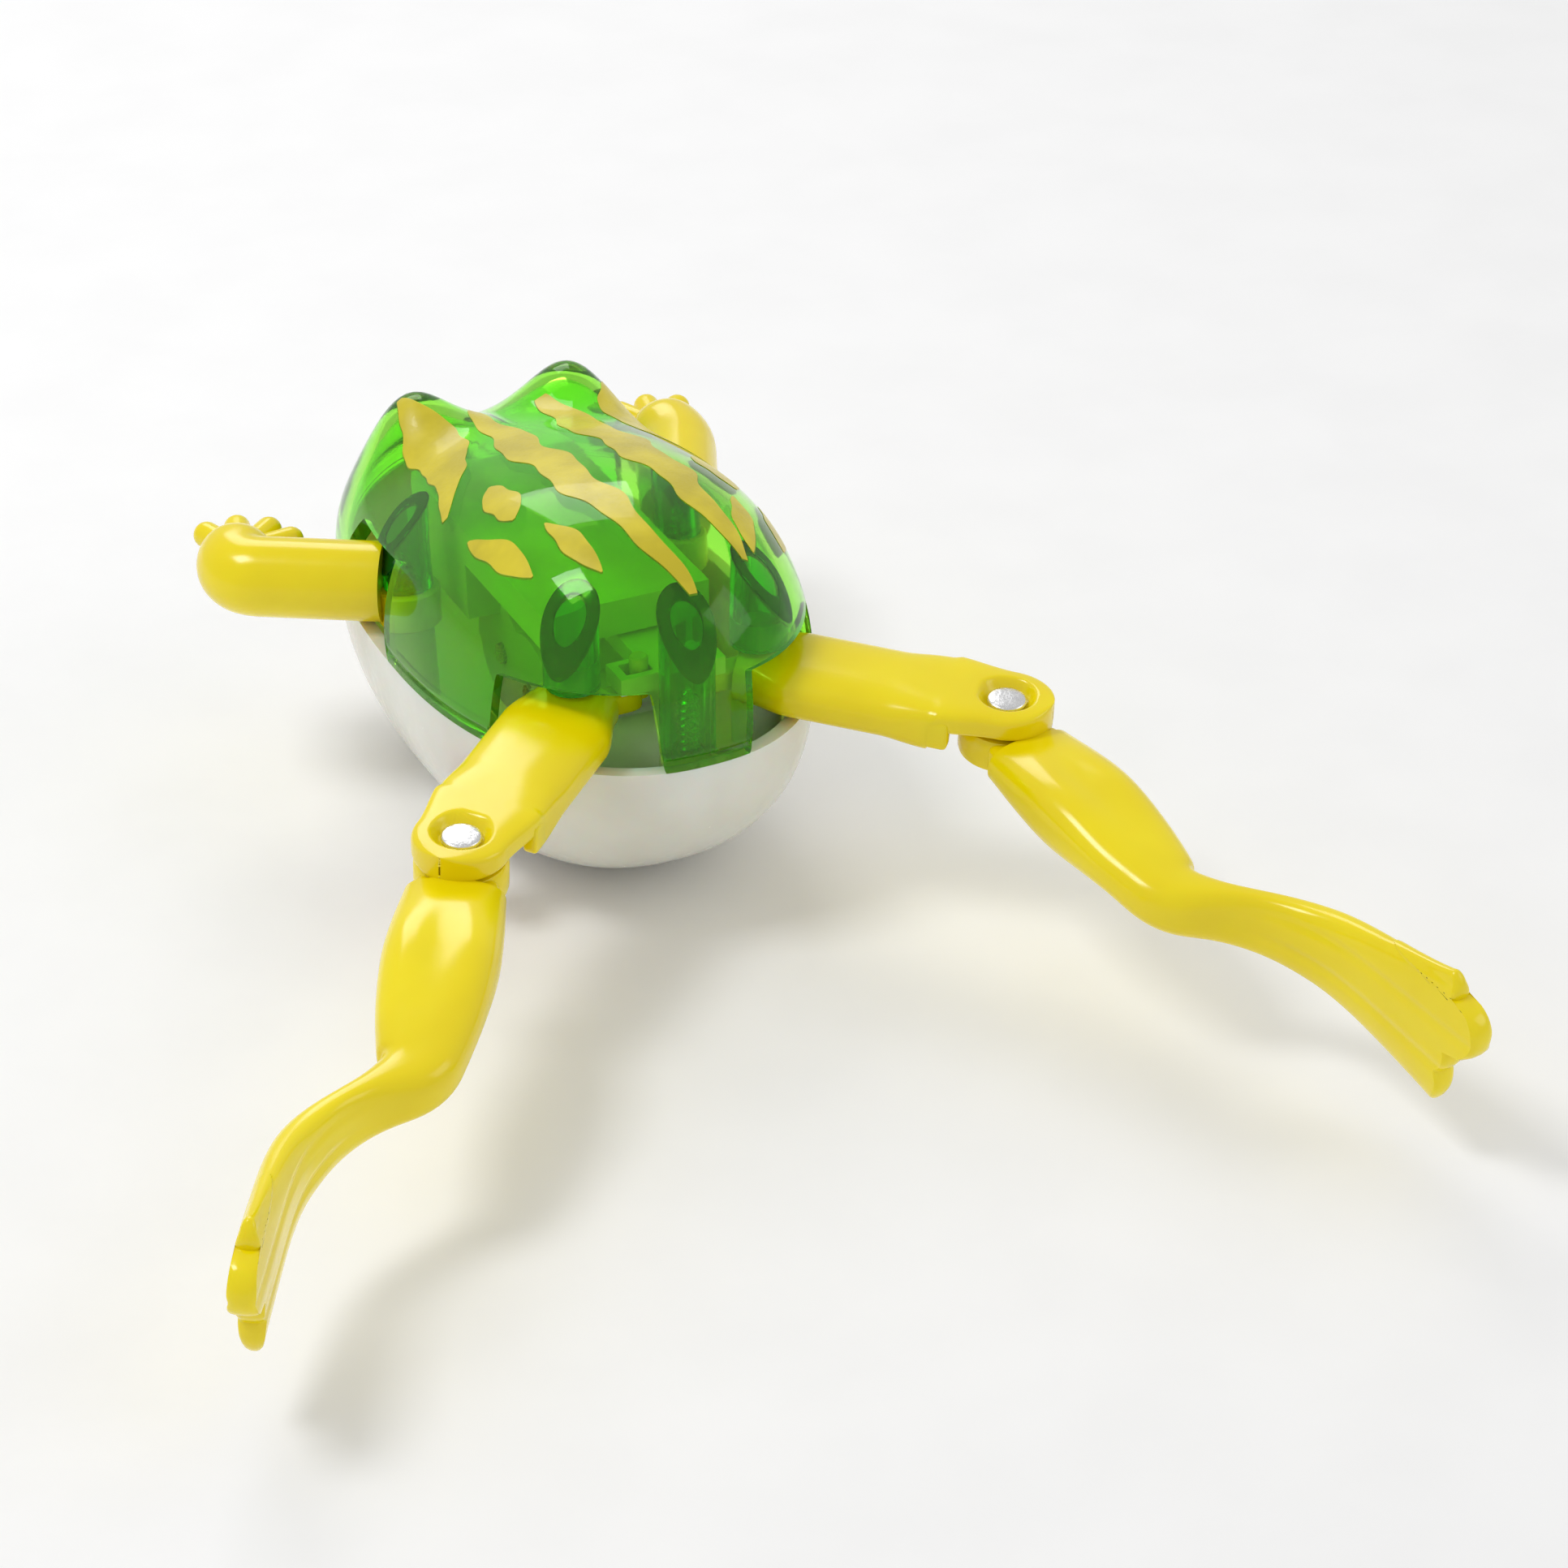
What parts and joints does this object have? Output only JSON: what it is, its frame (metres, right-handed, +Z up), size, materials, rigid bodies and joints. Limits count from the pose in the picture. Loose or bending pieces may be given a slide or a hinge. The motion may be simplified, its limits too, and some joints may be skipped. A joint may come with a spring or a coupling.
{
  "type": "wind-up swimming frog toy",
  "caption": "Clockwork frog toy: clear green upper shell over a milky hull, solid yellow arms, hinged yellow legs with riveted knees, and a winding knob under the left thigh.",
  "frame": {"origin": "middle of the flat rest on the hull's underside, on the middle plane", "axes": "+X to the frog's right, +Y towards its nose, +Z up"},
  "size_m": [0.1231, 0.1464, 0.0436],
  "materials": {
    "green_shell": "clear green moulded plastic with gold painted markings",
    "milk_shell": "milky moulded plastic",
    "yellow_leg": "glossy solid yellow",
    "yellow_arm": "glossy solid yellow",
    "rivet_aluminium": "peened",
    "motor_white": "plain moulded",
    "gear_cream": "plain moulded",
    "knob_red": "glossy red",
    "shaft_steel": "turned",
    "spring_steel": "blued strip",
    "screw_steel": "plated"
  },
  "bodies": {
    "body": {"upper_shell": "green_shell", "lower_shell": "milk_shell", "shell_screws": "screw_steel", "left_arm": "yellow_arm", "right_arm": "yellow_arm", "motor_case_left": "motor_white", "motor_case_right": "motor_white", "motor_screws": "screw_steel", "mainspring": "spring_steel"},
    "left_upper_leg": {"left_thigh": "yellow_leg", "left_knee_rivet": "rivet_aluminium"},
    "left_lower_leg": {"left_shank": "yellow_leg"},
    "right_upper_leg": {"right_thigh": "yellow_leg", "right_knee_rivet": "rivet_aluminium"},
    "right_lower_leg": {"right_shank": "yellow_leg"},
    "yoke": {"drive_yoke": "motor_white"},
    "arbor": {"winding_knob": "knob_red", "winding_arbor": "shaft_steel", "great_gear": "gear_cream"},
    "second": {"second_shaft": "shaft_steel", "second_gear": "gear_cream"},
    "crank": {"crank_shaft": "shaft_steel", "crank_gear": "gear_cream", "crank_disc": "gear_cream"},
    "governor": {"governor_shaft": "shaft_steel", "governor_flywheel": "gear_cream"}
  },
  "joints": [
    {"name": "left_hip", "type": "hinge", "parent": "body", "child": "left_upper_leg", "pos_m": [-0.0105, -0.0233, 0.0251], "axis": [0, 0, 1], "range_deg": [0, 24]},
    {"name": "right_hip", "type": "hinge", "parent": "body", "child": "right_upper_leg", "pos_m": [0.0105, -0.0233, 0.0251], "axis": [0, 0, 1], "range_deg": [-24, 0]},
    {"name": "left_knee", "type": "hinge", "parent": "left_upper_leg", "child": "left_lower_leg", "pos_m": [-0.03071, -0.04142, 0.02336], "axis": [0, -0.0958, 0.9954], "range_deg": [-37, 27]},
    {"name": "right_knee", "type": "hinge", "parent": "right_upper_leg", "child": "right_lower_leg", "pos_m": [0.03071, -0.04142, 0.02336], "axis": [0, -0.0958, 0.9954], "range_deg": [-4, 61]},
    {"name": "yoke_slide", "type": "slide", "parent": "body", "child": "yoke", "axis": [0, 1, 0], "range_m": [0, 0.0031]},
    {"name": "knob_spin", "type": "hinge", "parent": "body", "child": "arbor", "pos_m": [0, -0.0183, 0.0123], "axis": [1, 0, 0], "continuous": true},
    {"name": "second_spin", "type": "hinge", "parent": "body", "child": "second", "pos_m": [0, -0.01117, 0.0133], "axis": [1, 0, 0], "continuous": true},
    {"name": "crank_spin", "type": "hinge", "parent": "body", "child": "crank", "pos_m": [0, -0.00384, 0.01597], "axis": [1, 0, 0], "continuous": true},
    {"name": "governor_spin", "type": "hinge", "parent": "body", "child": "governor", "pos_m": [0, 0.00384, 0.01732], "axis": [1, 0, 0], "continuous": true}
  ],
  "couplings": [
    {"joint": "right_hip", "follows": "left_hip", "ratio": -1},
    {"joint": "yoke_slide", "follows": "left_hip", "m_per_rad": 0.007186},
    {"joint": "second_spin", "follows": "knob_spin", "ratio": -1.4},
    {"joint": "crank_spin", "follows": "knob_spin", "ratio": 2.24},
    {"joint": "governor_spin", "follows": "knob_spin", "ratio": -3.584}
  ]
}
